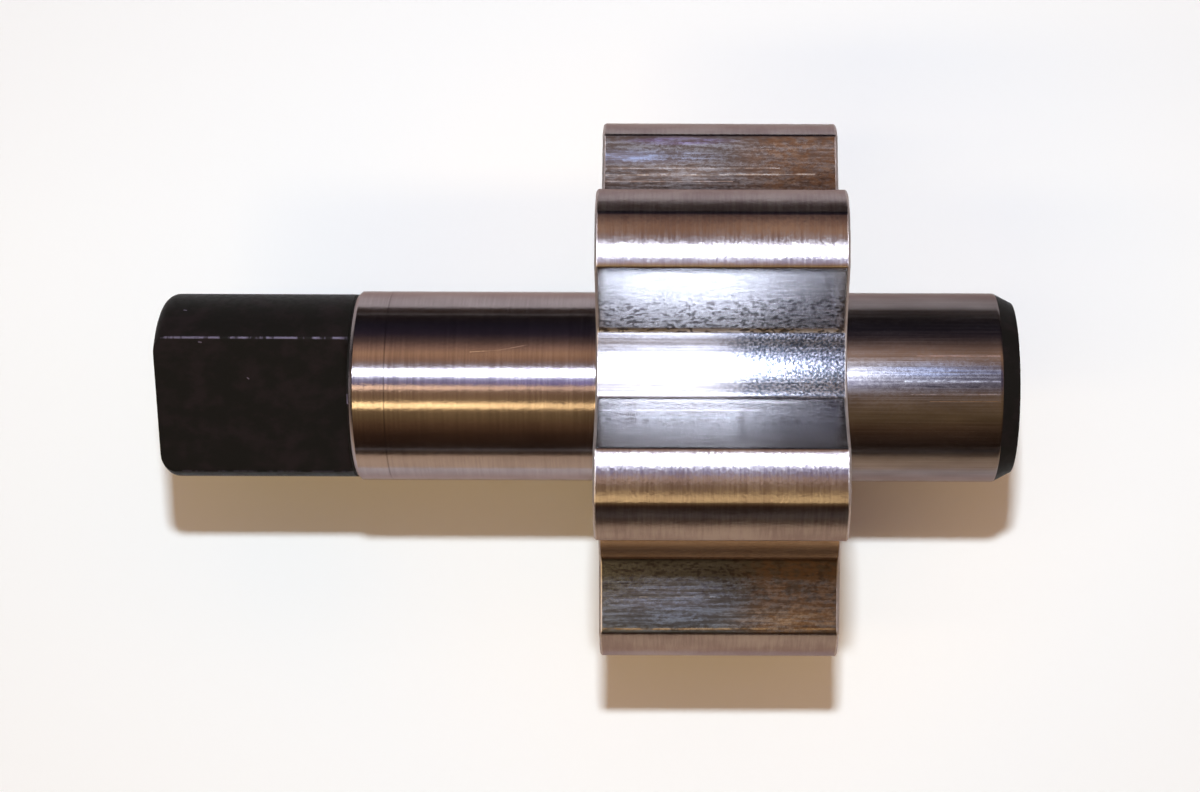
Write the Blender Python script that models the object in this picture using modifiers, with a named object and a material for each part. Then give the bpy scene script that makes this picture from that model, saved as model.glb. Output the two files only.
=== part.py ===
# Drive shaft of a gear type oil pump: a tang with two flats, two ground journals and a six-toothed gear
# between them, all machined from one bar of steel. Lengths are in metres.
# The shaft runs along X with its drive tang at -X. The origin is on its axis, at the middle of its length.
# It lies on two teeth of the gear, so one tooth space faces straight up.

import math

import bmesh
import bpy
from mathutils import Euler, Matrix, Vector

MM = 0.001

# Turned bar. A station is a distance along the axis from the drive end face.
LENGTH = 70.9 * MM
JOURNAL_RADIUS = 7.9375 * MM
TANG_RADIUS = 7.67 * MM
TANG_LENGTH = 16.25 * MM
TANG_END_ROUNDING = 1.2 * MM
JOURNAL_LEAD = 0.25 * MM
IDLE_END_RADIUS = 7.2 * MM
IDLE_LEAD_LENGTH = 1.55 * MM
GEAR_COVE_RADIUS = 0.3 * MM

# Centre holes that the bar is turned and ground on, one in each end face.
CENTRE_MOUTH_RADIUS = 1.675 * MM
CENTRE_PILOT_RADIUS = 0.8 * MM
CENTRE_CONE_HALF_ANGLE = math.radians(30)
CENTRE_PILOT_DEPTH = 3.5 * MM
DRILL_POINT_HALF_ANGLE = math.radians(59)

# Flats of the drive tang. The clocking turns them about the axis from the tooth space that faces up.
ACROSS_FLATS = 9.87 * MM
FLAT_LENGTH = 16.05 * MM
FLAT_RUNOUT_RADIUS = 0.7 * MM
FLAT_CLOCKING = math.radians(26.2)

# Gear. Its teeth have a round crest, straight flanks and a flat land between their roots.
TOOTH_COUNT = 6
GEAR_START = 36.6 * MM
GEAR_WIDTH = 19.65 * MM
TIP_RADIUS = 22.54 * MM
CREST_RADIUS = 5.37 * MM
CREST_HALF_ANGLE = math.radians(47.5)
ROOT_LAND_DISTANCE = 15.41 * MM
ROOT_LAND_HALF_WIDTH = 2.69 * MM
ROOT_FILLET_RADIUS = 1.0 * MM
GEAR_EDGE_BREAK = 0.25 * MM

# Facets of the round forms.
TURNED_STEPS = 72
ROUNDING_STEPS = 6
COVE_STEPS = 3
CREST_STEPS = 12
FILLET_STEPS = 3
RUNOUT_STEPS = 4

# Slack of the cutters past the metal, and the distance at which equal points are welded.
CUTTER_SLACK = 3.0 * MM
WELD_DISTANCE = 0.001 * MM
SHARP_ANGLE = math.radians(28)
EDGE_BREAK_MIN_ANGLE = math.radians(60)


def clear_scene():
    """Remove every object of the open scene."""
    for old in list(bpy.data.objects):
        bpy.data.objects.remove(old, do_unlink=True)


def add_collection(name):
    """Return a new collection under the scene."""
    collection = bpy.data.collections.new(name)
    bpy.context.scene.collection.children.link(collection)
    return collection


def add_object(name, data, collection, parent):
    """Return a new object for the data, linked and parented."""
    added = bpy.data.objects.new(name, data)
    collection.objects.link(added)
    added.parent = parent
    return added


def steel_material(name, colour, roughness, metallic):
    """Return a Principled material for one finish of the steel."""
    material = bpy.data.materials.new(name)
    material.use_nodes = True
    shader = material.node_tree.nodes["Principled BSDF"]
    shader.inputs["Base Color"].default_value = (*colour, 1.0)
    shader.inputs["Roughness"].default_value = roughness
    shader.inputs["Metallic"].default_value = metallic
    material.diffuse_color = (*colour, 1.0)
    return material


def ground_steel():
    """Bright steel of the journals, the gear and its faces."""
    return steel_material("ground_steel", (0.56, 0.54, 0.52), 0.25, 1.0)


def black_oxide():
    """Black skin that stays on the tang and the idle end, which aren't ground."""
    return steel_material("black_oxide", (0.02, 0.019, 0.018), 0.45, 0.3)


def arc_points(centre, radius, start, end, steps):
    """Points along an arc, with its angles in radians from the first axis to the second."""
    angles = [start + (end - start) * step / steps for step in range(steps + 1)]
    return [(centre[0] + radius * math.cos(a), centre[1] + radius * math.sin(a)) for a in angles]


def filleted_corner(before, corner, after, radius, steps):
    """Points of the arc that rounds a corner between two straight sides."""
    corner = Vector(corner)
    to_before = (Vector(before) - corner).normalized()
    to_after = (Vector(after) - corner).normalized()
    half_opening = to_before.angle(to_after) / 2
    bisector = (to_before + to_after).normalized()
    centre = corner + bisector * (radius / math.sin(half_opening))
    tangent_length = radius / math.tan(half_opening)
    first = corner + to_before * tangent_length - centre
    last = corner + to_after * tangent_length - centre
    turn = math.atan2(first.x * last.y - first.y * last.x, first.dot(last))
    start = math.atan2(first.y, first.x)
    return arc_points(centre, radius, start, start + turn, steps)


def centre_hole(face, inward):
    """Outline of a centre hole from the axis to its mouth; inward is the sign of the way into the bar."""
    cone_depth = (CENTRE_MOUTH_RADIUS - CENTRE_PILOT_RADIUS) / math.tan(CENTRE_CONE_HALF_ANGLE)
    point_depth = CENTRE_PILOT_RADIUS / math.tan(DRILL_POINT_HALF_ANGLE)
    return [
        (0.0, face + inward * (CENTRE_PILOT_DEPTH + point_depth)),
        (CENTRE_PILOT_RADIUS, face + inward * CENTRE_PILOT_DEPTH),
        (CENTRE_PILOT_RADIUS, face + inward * cone_depth),
        (CENTRE_MOUTH_RADIUS, face),
    ]


def turned_profile():
    """Half outline of the bar as (radius, station) points, from the idle end to the drive end."""
    quarter = math.pi / 2
    cove_top = JOURNAL_RADIUS + GEAR_COVE_RADIUS
    gear_end = GEAR_START + GEAR_WIDTH
    idle_cove_centre = (cove_top, gear_end + GEAR_COVE_RADIUS)
    drive_cove_centre = (cove_top, GEAR_START - GEAR_COVE_RADIUS)
    rounding_centre = (TANG_RADIUS - TANG_END_ROUNDING, TANG_END_ROUNDING)
    points = centre_hole(LENGTH, -1)
    points.append((IDLE_END_RADIUS, LENGTH))
    points.append((JOURNAL_RADIUS, LENGTH - IDLE_LEAD_LENGTH))
    points += arc_points(idle_cove_centre, GEAR_COVE_RADIUS, 2 * quarter, 3 * quarter, COVE_STEPS)
    points += arc_points(drive_cove_centre, GEAR_COVE_RADIUS, quarter, 2 * quarter, COVE_STEPS)
    points.append((JOURNAL_RADIUS, TANG_LENGTH + JOURNAL_LEAD))
    points.append((TANG_RADIUS, TANG_LENGTH))
    points += arc_points(rounding_centre, TANG_END_ROUNDING, 0, -quarter, ROUNDING_STEPS)
    points += reversed(centre_hole(0.0, 1))
    return points


def turned_bar(collection, parent):
    """Bar with tang, journals and centre holes, turned from its half outline about the local Z axis."""
    points = [(radius, 0.0, station - LENGTH / 2) for radius, station in turned_profile()]
    edges = [(index, index + 1) for index in range(len(points) - 1)]
    mesh = bpy.data.meshes.new("oil_pump_shaft")
    mesh.from_pydata(points, edges, [])
    bar = add_object("oil_pump_shaft", mesh, collection, parent)
    screw = bar.modifiers.new("turned", "SCREW")
    screw.axis = "Z"
    screw.angle = 2 * math.pi
    screw.steps = TURNED_STEPS
    screw.render_steps = TURNED_STEPS
    screw.use_merge_vertices = True
    screw.merge_threshold = WELD_DISTANCE
    return bar


def tooth_outline():
    """Outline of one tooth, from root land to root land, with the tooth along the first axis."""
    half_pitch = math.pi / TOOTH_COUNT
    crest_centre = (TIP_RADIUS - CREST_RADIUS, 0.0)
    crest = arc_points(crest_centre, CREST_RADIUS, -CREST_HALF_ANGLE, CREST_HALF_ANGLE, CREST_STEPS)
    land_turn = Matrix.Rotation(half_pitch, 2)
    land_middle = land_turn @ Vector((ROOT_LAND_DISTANCE, 0.0))
    land_corner = land_turn @ Vector((ROOT_LAND_DISTANCE, -ROOT_LAND_HALF_WIDTH))
    fillet = filleted_corner(crest[-1], land_corner, land_middle, ROOT_FILLET_RADIUS, FILLET_STEPS)
    opposite_fillet = [(along, -across) for along, across in reversed(fillet)]
    return opposite_fillet + crest + fillet


def gear_outline():
    """Outline of the whole gear, with tooth spaces on both sides of the local X axis."""
    points = []
    for tooth in range(TOOTH_COUNT):
        turn = Matrix.Rotation((tooth + 0.5) * 2 * math.pi / TOOTH_COUNT, 2)
        points += [turn @ Vector(point) for point in tooth_outline()]
    return points


def gear_blank(collection, parent):
    """Toothed disc that is joined to the bar, with broken edges round both faces."""
    outline = gear_outline()
    curve = bpy.data.curves.new("gear_outline", "CURVE")
    curve.dimensions = "2D"
    curve.fill_mode = "BOTH"
    curve.extrude = GEAR_WIDTH / 2
    spline = curve.splines.new("POLY")
    spline.points.add(len(outline) - 1)
    for spline_point, point in zip(spline.points, outline):
        spline_point.co = (point.x, point.y, 0.0, 1.0)
    spline.use_cyclic_u = True
    drawn = add_object("gear_outline", curve, collection, parent)
    blank = add_object("gear_blank", mesh_of(drawn), collection, parent)
    blank.location.z = GEAR_START + GEAR_WIDTH / 2 - LENGTH / 2
    bpy.data.objects.remove(drawn, do_unlink=True)
    edge_break = blank.modifiers.new("edge_break", "BEVEL")
    edge_break.width = GEAR_EDGE_BREAK
    edge_break.segments = 1
    edge_break.limit_method = "ANGLE"
    edge_break.angle_limit = EDGE_BREAK_MIN_ANGLE
    mark_as_tool(blank)
    return blank


def mesh_of(source):
    """Return a welded mesh of the source object as its modifiers leave it."""
    bpy.context.view_layer.update()
    depsgraph = bpy.context.evaluated_depsgraph_get()
    mesh = bpy.data.meshes.new_from_object(source.evaluated_get(depsgraph), depsgraph=depsgraph)
    work = bmesh.new()
    work.from_mesh(mesh)
    bmesh.ops.remove_doubles(work, verts=work.verts, dist=WELD_DISTANCE)
    work.to_mesh(mesh)
    work.free()
    return mesh


def mark_as_tool(tool):
    """Show a cutter or a blank as wire only."""
    tool.hide_render = True
    tool.display_type = "WIRE"


def flat_cutter(name, clocking, collection, parent):
    """Block that mills one flat of the tang, with a round run-out where it leaves the bar."""
    length = FLAT_LENGTH + CUTTER_SLACK
    width = 2 * (TANG_RADIUS + CUTTER_SLACK)
    height = TANG_RADIUS - ACROSS_FLATS / 2 + CUTTER_SLACK
    turn = Matrix.Rotation(clocking, 4, "Z")
    middle = Vector((-ACROSS_FLATS / 2 - height / 2, 0.0, FLAT_LENGTH - length / 2 - LENGTH / 2))
    mesh = bpy.data.meshes.new(name)
    work = bmesh.new()
    bmesh.ops.create_cube(work, size=1.0, matrix=Matrix.Diagonal((height, width, length, 1.0)))
    work.to_mesh(mesh)
    work.free()
    cutter = add_object(name, mesh, collection, parent)
    cutter.location = turn @ middle
    cutter.rotation_euler = Euler((0.0, 0.0, clocking))
    runout = cutter.modifiers.new("runout", "BEVEL")
    runout.width = FLAT_RUNOUT_RADIUS
    runout.segments = RUNOUT_STEPS
    mark_as_tool(cutter)
    return cutter


def add_boolean(target, tool, operation):
    """Join the tool to the target or cut it away."""
    boolean = target.modifiers.new(tool.name, "BOOLEAN")
    boolean.operation = operation
    boolean.object = tool
    boolean.solver = "EXACT"


def is_black(middle):
    """Tell whether a face of the finished bar keeps its black skin, from its middle in local axes."""
    station = middle.z + LENGTH / 2
    radius = math.hypot(middle.x, middle.y)
    idle_end = station > LENGTH - IDLE_LEAD_LENGTH and radius > CENTRE_MOUTH_RADIUS
    return station < TANG_LENGTH or idle_end


def finish_surfaces(shaft):
    """Give each face its finish and shade the round ones smooth."""
    mesh = mesh_of(shaft)
    shaft.modifiers.clear()
    shaft.data = mesh
    mesh.materials.clear()
    mesh.materials.append(ground_steel())
    mesh.materials.append(black_oxide())
    for polygon in mesh.polygons:
        polygon.material_index = int(is_black(polygon.center))
    mesh.shade_smooth()
    mesh.set_sharp_from_angle(angle=SHARP_ANGLE)


clear_scene()
parts = add_collection("oil_pump_shaft")
tools = add_collection("blanks_and_cutters")
axis = add_object("shaft_axis", None, parts, None)
axis.rotation_euler = Euler((0.0, math.pi / 2, 0.0))

shaft_bar = turned_bar(parts, axis)
add_boolean(shaft_bar, gear_blank(tools, axis), "UNION")
add_boolean(shaft_bar, flat_cutter("front_flat_cutter", FLAT_CLOCKING, tools, axis), "DIFFERENCE")
add_boolean(shaft_bar, flat_cutter("back_flat_cutter", FLAT_CLOCKING + math.pi, tools, axis), "DIFFERENCE")
finish_surfaces(shaft_bar)
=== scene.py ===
import bisect
import math

import bmesh
import bpy
from mathutils import Matrix, Vector


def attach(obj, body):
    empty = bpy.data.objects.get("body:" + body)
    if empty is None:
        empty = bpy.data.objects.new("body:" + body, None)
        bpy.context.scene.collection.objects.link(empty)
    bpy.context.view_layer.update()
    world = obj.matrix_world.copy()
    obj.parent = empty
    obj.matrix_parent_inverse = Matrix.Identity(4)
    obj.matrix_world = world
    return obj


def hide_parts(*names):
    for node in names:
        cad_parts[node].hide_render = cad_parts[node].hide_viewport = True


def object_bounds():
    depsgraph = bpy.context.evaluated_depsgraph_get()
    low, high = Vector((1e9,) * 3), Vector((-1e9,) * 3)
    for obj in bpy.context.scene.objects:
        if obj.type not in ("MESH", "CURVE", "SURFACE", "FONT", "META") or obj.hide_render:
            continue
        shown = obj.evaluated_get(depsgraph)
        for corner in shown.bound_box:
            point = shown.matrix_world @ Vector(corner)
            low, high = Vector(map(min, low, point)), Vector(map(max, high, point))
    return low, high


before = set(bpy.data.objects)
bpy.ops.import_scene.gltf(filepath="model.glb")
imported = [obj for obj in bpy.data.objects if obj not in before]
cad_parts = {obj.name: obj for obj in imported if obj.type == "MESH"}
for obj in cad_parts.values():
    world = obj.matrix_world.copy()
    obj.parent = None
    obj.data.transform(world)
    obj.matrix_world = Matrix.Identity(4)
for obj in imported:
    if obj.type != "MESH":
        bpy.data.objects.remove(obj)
cad_low, cad_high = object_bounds()


# Turned bar.
# The tang, both journals and the leads are one bar of carbon steel, turned between centres and then
# ground on the journals. Each ring below is one section of the bar, at a distance from the drive end face.
# Sizes are in mm here and in the sections below, unless their comment says otherwise.
MM = 0.001
LENGTH = (cad_high.x - cad_low.x) / MM
JOURNAL_RADIUS = 7.9375
TANG_RADIUS = 7.67
TANG_LENGTH = 16.25
TANG_END_ROUNDING = 1.2
JOURNAL_LEAD = 0.25
IDLE_END_RADIUS = 7.2
IDLE_LEAD_LENGTH = 1.55
IDLE_END_ROUNDING = 0.15
GEAR_COVE_RADIUS = 0.3
RIM_ROUNDING = 0.06
CENTRE_MOUTH_RADIUS = 1.675
CENTRE_PILOT_RADIUS = 0.8
CENTRE_CONE_DEPTH = 1.516
CENTRE_PILOT_DEPTH = 3.5
CENTRE_BOTTOM_DEPTH = 3.98

# Two flats are milled on the tang with a round-nosed cutter. Their long edges are slightly rounded by wear.
HALF_ACROSS_FLATS = 4.935
FLAT_LENGTH = 16.05
FLAT_RUNOUT = 0.7
FLAT_END_BREAK = 0.2
FLAT_CLOCKING = math.radians(26.2)
FLAT_EDGE_BLEND = 0.2
# A point that faces further from a flat than this, as a cosine, can't lie on it.
LEAST_FACING = 0.05

# Points round the bar: evenly spaced, and closer together where the edges of the flats run. They are picked
# from so many trial angles.
FLAT_EDGE_ANGLE = math.acos(HALF_ACROSS_FLATS / TANG_RADIUS)
FLAT_EDGES = [FLAT_CLOCKING + turn + side * FLAT_EDGE_ANGLE for turn in (0, math.pi) for side in (-1, 1)]
EDGE_CROWDING = 12.0
EDGE_CROWDING_WIDTH = math.radians(1.2)
ANGLE_TRIALS = 7200


def wrapped(angle):
    """The same angle between minus and plus half a turn."""
    return (angle + math.pi) % (2 * math.pi) - math.pi


def bar_angles(count):
    """Angles round the bar, from +Z by the right-hand rule about +X, crowded at the flats' edges."""
    steps = [2 * math.pi * (index + 0.5) / ANGLE_TRIALS for index in range(ANGLE_TRIALS)]
    weights = []
    for angle in steps:
        near = sum(math.exp(-(wrapped(angle - edge) / EDGE_CROWDING_WIDTH) ** 2) for edge in FLAT_EDGES)
        weights.append(1 + EDGE_CROWDING * near)
    total = 0.0
    sums = [total := total + weight for weight in weights]
    return [steps[bisect.bisect_left(sums, total * (index + 0.5) / count)] for index in range(count)]


def on_section(station, radius, angle):
    """Point in metres at a station along the bar, and at a radius and an angle round it, all in mm."""
    along = cad_low.x + station * MM
    return Vector((along, -radius * MM * math.sin(angle), radius * MM * math.cos(angle)))


def smooth_least(first, second, blend):
    """The lesser of two lengths, rounded off where they are about equal."""
    closeness = max(blend - abs(first - second), 0.0) / blend
    return min(first, second) - closeness ** 2 * blend / 4


def bar_ring(station, radius, angles, flat_height=None):
    """One round section, cut by the two flats where it has them."""
    points = []
    for angle in angles:
        reach = radius
        if flat_height is not None:
            facing = abs(math.cos(angle - FLAT_CLOCKING))
            if facing > LEAST_FACING:
                reach = smooth_least(radius, flat_height / facing, FLAT_EDGE_BLEND)
        points.append(on_section(station, reach, angle))
    return points


def quarter_arc(radius, steps):
    """Depth across and distance along of a quarter round, from the face to the side."""
    turns = [math.pi / 2 * step / steps for step in range(steps + 1)]
    return [(radius * (1 - math.sin(turn)), radius * (1 - math.cos(turn))) for turn in turns]


# Gear.
# The teeth are cut in the same bar: round crests ground on the outside diameter, straight flanks and flat
# root lands cut along the axis. Every edge round the two faces is broken by hand, widest on the flanks.
TOOTH_COUNT = 6
GEAR_START = 36.6
GEAR_WIDTH = 19.65
TIP_RADIUS = (cad_high.y - cad_low.y) / 2 / MM
CREST_TIP_RADIUS = 1.2
CREST_TIP_HALF_ANGLE = math.radians(11.6)
CREST_SHOULDER_RADIUS = 8.55
CREST_HALF_ANGLE = math.radians(39.35)
CREST_CORNER_RADIUS = 0.5
ROOT_LAND_DISTANCE = 15.41
ROOT_LAND_HALF_WIDTH = 2.69
ROOT_FILLET_RADIUS = 1.0
FLANK_HOLLOW = 0.12
LAND_HOLLOW = 0.34
EDGE_BREAKS = {"crest": 0.16, "flank": 0.18, "land": 0.12}
# Section of a broken edge, as shares of its width: inset from the outline, and distance from the face. The
# last ring keeps the long faces flat in the shading.
EDGE_BREAK_SECTION = [(1.1, 0.0), (0.9, 0.07), (0.07, 0.9), (0.0, 1.1), (0.0, 1.4)]
EDGE_BREAK_EASINGS = 3
# How many pieces each part of half a tooth's outline is drawn with.
LAND_STEPS = 5
FILLET_STEPS = 6
FLANK_STEPS = 9
CORNER_STEPS = 4
SHOULDER_STEPS = 12
TIP_STEPS = 5


def filleted_corner(before, corner, after, radius, steps):
    """Points of the arc that rounds a corner between two straight sides."""
    to_before = (before - corner).normalized()
    to_after = (after - corner).normalized()
    half_opening = to_before.angle(to_after) / 2
    bisector = (to_before + to_after).normalized()
    centre = corner + bisector * (radius / math.sin(half_opening))
    tangent_length = radius / math.tan(half_opening)
    first = corner + to_before * tangent_length - centre
    last = corner + to_after * tangent_length - centre
    turn = math.atan2(first.x * last.y - first.y * last.x, first.dot(last))
    return [centre + Matrix.Rotation(turn * step / steps, 2) @ first for step in range(steps + 1)]


def hollow_line(first, last, steps, hollow, start=0.0):
    """Evenly spaced points between two ends, without the ends, on a line hollowed to the left of its run.

    With start at 0.5 the line is the second half of a hollow that is deepest at its first end.
    """
    along = (last - first).normalized()
    inward = Vector((-along.y, along.x))
    points = []
    for step in range(1, steps):
        share = start + (1 - start) * step / steps
        points.append(first.lerp(last, step / steps) + inward * hollow * 4 * share * (1 - share))
    return points


def arc_point(centre, radius, heading):
    """Point on an arc at a heading from the first axis."""
    return centre + radius * Vector((math.cos(heading), math.sin(heading)))


def half_tooth():
    """Half a tooth as (point, region) pairs, from the middle of a root land to the middle of the crest.

    The first axis runs along the tooth's own centreline.
    """
    half_pitch = math.pi / TOOTH_COUNT
    land_turn = Matrix.Rotation(-half_pitch, 2)
    land_level = land_turn @ Vector((ROOT_LAND_DISTANCE, 0))
    land_middle = land_turn @ Vector((ROOT_LAND_DISTANCE - LAND_HOLLOW, 0))
    land_corner = land_turn @ Vector((ROOT_LAND_DISTANCE, ROOT_LAND_HALF_WIDTH))
    tip_centre = Vector((TIP_RADIUS - CREST_TIP_RADIUS, 0))
    tip_end = arc_point(tip_centre, CREST_TIP_RADIUS, -CREST_TIP_HALF_ANGLE)
    shoulder_centre = 2 * tip_end - arc_point(tip_end, CREST_SHOULDER_RADIUS, -CREST_TIP_HALF_ANGLE)
    crest = []
    for step in range(SHOULDER_STEPS):
        heading = -CREST_HALF_ANGLE + (CREST_HALF_ANGLE - CREST_TIP_HALF_ANGLE) * step / SHOULDER_STEPS
        crest.append(arc_point(shoulder_centre, CREST_SHOULDER_RADIUS, heading))
    for step in range(TIP_STEPS + 1):
        crest.append(arc_point(tip_centre, CREST_TIP_RADIUS, -CREST_TIP_HALF_ANGLE * (1 - step / TIP_STEPS)))
    fillet = filleted_corner(land_level, land_corner, crest[0], ROOT_FILLET_RADIUS, FILLET_STEPS)
    corner = filleted_corner(land_corner, crest[0], crest[1], CREST_CORNER_RADIUS, CORNER_STEPS)
    fillet_middle = FILLET_STEPS // 2
    corner_middle = CORNER_STEPS // 2
    land_points = hollow_line(land_level, fillet[0], LAND_STEPS, LAND_HOLLOW, start=0.5)
    pairs = [(land_middle, "land")]
    pairs += [(point, "land") for point in land_points]
    pairs += [(point, "land") for point in fillet[:fillet_middle]]
    pairs += [(point, "flank") for point in fillet[fillet_middle:]]
    pairs += [(point, "flank") for point in hollow_line(fillet[-1], corner[0], FLANK_STEPS, FLANK_HOLLOW)]
    pairs += [(point, "flank") for point in corner[:corner_middle]]
    pairs += [(point, "crest") for point in corner[corner_middle:]]
    pairs += [(point, "crest") for point in crest[1:]]
    return pairs


def gear_outline():
    """The closed outline of the gear as (point, region) pairs, from the land that faces up."""
    half = half_tooth()
    mirrored = [(Vector((point.x, -point.y)), region) for point, region in reversed(half[1:-1])]
    outline = []
    for tooth in range(TOOTH_COUNT):
        turn = Matrix.Rotation((tooth + 0.5) * 2 * math.pi / TOOTH_COUNT, 2)
        outline += [(turn @ point, region) for point, region in half + mirrored]
    return outline


outline = gear_outline()
outline_count = len(outline)
outward = []
for index in range(outline_count):
    tangent = outline[(index + 1) % outline_count][0] - outline[index - 1][0]
    outward.append(Vector((tangent.y, -tangent.x)).normalized())
# The hand that breaks the edges goes from one width to the next gradually.
break_widths = [EDGE_BREAKS[region] for _, region in outline]
for _ in range(EDGE_BREAK_EASINGS):
    break_widths = [
        (break_widths[index - 1] + break_widths[index] + break_widths[(index + 1) % outline_count]) / 3
        for index in range(outline_count)
    ]


def gear_ring(face_station, into, inset_share, depth_share):
    """One section of the gear near a face; into is the sign of the way from that face into the gear."""
    points = []
    for (point, _), normal, width in zip(outline, outward, break_widths):
        moved = point - normal * (width * inset_share)
        station = face_station + into * width * depth_share
        points.append(on_section(station, moved.length, math.atan2(moved.y, moved.x)))
    return points


# The rings in order from the drive end to the idle end, each with the finish of the band that follows it.
angles = bar_angles(outline_count)
rings = []


def add_ring(points, finish):
    """Append one section and the finish of the surface from it to the next."""
    rings.append((points, finish))


tang_face_radius = TANG_RADIUS - TANG_END_ROUNDING
runout_start = FLAT_LENGTH - FLAT_RUNOUT
gear_end = GEAR_START + GEAR_WIDTH
lead_start = LENGTH - IDLE_LEAD_LENGTH
ARC_STEPS = 4
END_ROUNDING_STEPS = 12
RUNOUT_STEPS = 6
# Extra rings this far from an edge keep the long faces beside it flat in the shading.
SUPPORT_GAP = 0.2
cove_support = 1.5 * GEAR_COVE_RADIUS
rim_support = 3 * RIM_ROUNDING

add_ring(bar_ring(CENTRE_PILOT_DEPTH, CENTRE_PILOT_RADIUS, angles), "bore")
add_ring(bar_ring(CENTRE_CONE_DEPTH, CENTRE_PILOT_RADIUS, angles), "bore")
add_ring(bar_ring(0.0, CENTRE_MOUTH_RADIUS, angles), "black")
inner_flat = HALF_ACROSS_FLATS - FLAT_END_BREAK - SUPPORT_GAP
add_ring(bar_ring(0.0, tang_face_radius - 2 * SUPPORT_GAP, angles, inner_flat), "black")
for across, along in quarter_arc(FLAT_END_BREAK, ARC_STEPS):
    swell = math.sqrt(max(TANG_END_ROUNDING ** 2 - (TANG_END_ROUNDING - along) ** 2, 0.0))
    add_ring(bar_ring(along, tang_face_radius + swell, angles, HALF_ACROSS_FLATS - across), "black")
for step in range(1, END_ROUNDING_STEPS + 1):
    turn = math.pi / 2 * step / END_ROUNDING_STEPS
    along = TANG_END_ROUNDING * (1 - math.cos(turn))
    if along > FLAT_END_BREAK:
        swell = TANG_END_ROUNDING * math.sin(turn)
        add_ring(bar_ring(along, tang_face_radius + swell, angles, HALF_ACROSS_FLATS), "black")
add_ring(bar_ring(TANG_END_ROUNDING + SUPPORT_GAP, TANG_RADIUS, angles, HALF_ACROSS_FLATS), "black")
add_ring(bar_ring(runout_start - SUPPORT_GAP, TANG_RADIUS, angles, HALF_ACROSS_FLATS), "black")
for step in range(RUNOUT_STEPS + 1):
    turn = math.pi / 2 * step / RUNOUT_STEPS
    height = HALF_ACROSS_FLATS + FLAT_RUNOUT * (1 - math.cos(turn))
    add_ring(bar_ring(runout_start + FLAT_RUNOUT * math.sin(turn), TANG_RADIUS, angles, height), "black")
add_ring(bar_ring(FLAT_LENGTH, TANG_RADIUS - RIM_ROUNDING, angles, TANG_RADIUS), "black")
add_ring(bar_ring(FLAT_LENGTH + RIM_ROUNDING, TANG_RADIUS, angles), "black")
add_ring(bar_ring(TANG_LENGTH, TANG_RADIUS, angles), "journal")
add_ring(bar_ring(TANG_LENGTH + JOURNAL_LEAD, JOURNAL_RADIUS - RIM_ROUNDING / 2, angles), "journal")
add_ring(bar_ring(TANG_LENGTH + JOURNAL_LEAD + RIM_ROUNDING, JOURNAL_RADIUS, angles), "journal")
add_ring(bar_ring(TANG_LENGTH + JOURNAL_LEAD + rim_support, JOURNAL_RADIUS, angles), "journal")
add_ring(bar_ring(GEAR_START - cove_support, JOURNAL_RADIUS, angles), "journal")
for across, along in reversed(quarter_arc(GEAR_COVE_RADIUS, ARC_STEPS)):
    add_ring(bar_ring(GEAR_START - along, JOURNAL_RADIUS + across, angles), "journal")
rings[-1] = (rings[-1][0], "side")
for inset, depth in EDGE_BREAK_SECTION:
    add_ring(gear_ring(GEAR_START, 1, inset, depth), "edge")
rings[-1] = (rings[-1][0], "teeth")
for inset, depth in reversed(EDGE_BREAK_SECTION):
    add_ring(gear_ring(gear_end, -1, inset, depth), "edge")
rings[-1] = (rings[-1][0], "side")
for across, along in quarter_arc(GEAR_COVE_RADIUS, ARC_STEPS):
    add_ring(bar_ring(gear_end + along, JOURNAL_RADIUS + across, angles), "stub")
add_ring(bar_ring(gear_end + cove_support, JOURNAL_RADIUS, angles), "stub")
add_ring(bar_ring(lead_start - rim_support, JOURNAL_RADIUS, angles), "stub")
add_ring(bar_ring(lead_start - RIM_ROUNDING, JOURNAL_RADIUS, angles), "stub")
add_ring(bar_ring(lead_start + RIM_ROUNDING, JOURNAL_RADIUS - RIM_ROUNDING / 2, angles), "black")
for across, along in reversed(quarter_arc(IDLE_END_ROUNDING, ARC_STEPS)):
    add_ring(bar_ring(LENGTH - along, IDLE_END_RADIUS - across, angles), "black")
add_ring(bar_ring(LENGTH, CENTRE_MOUTH_RADIUS, angles), "bore")
add_ring(bar_ring(LENGTH - CENTRE_CONE_DEPTH, CENTRE_PILOT_RADIUS, angles), "bore")
add_ring(bar_ring(LENGTH - CENTRE_PILOT_DEPTH, CENTRE_PILOT_RADIUS, angles), "bore")

# Edges that turn more than this stay sharp in the shading. The finishes are in the order of the mesh's
# material slots.
SHARP_EDGE_ANGLE = math.radians(24)
FINISHES = ["black", "journal", "stub", "side", "edge", "crest", "flank", "land", "bore"]


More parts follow.
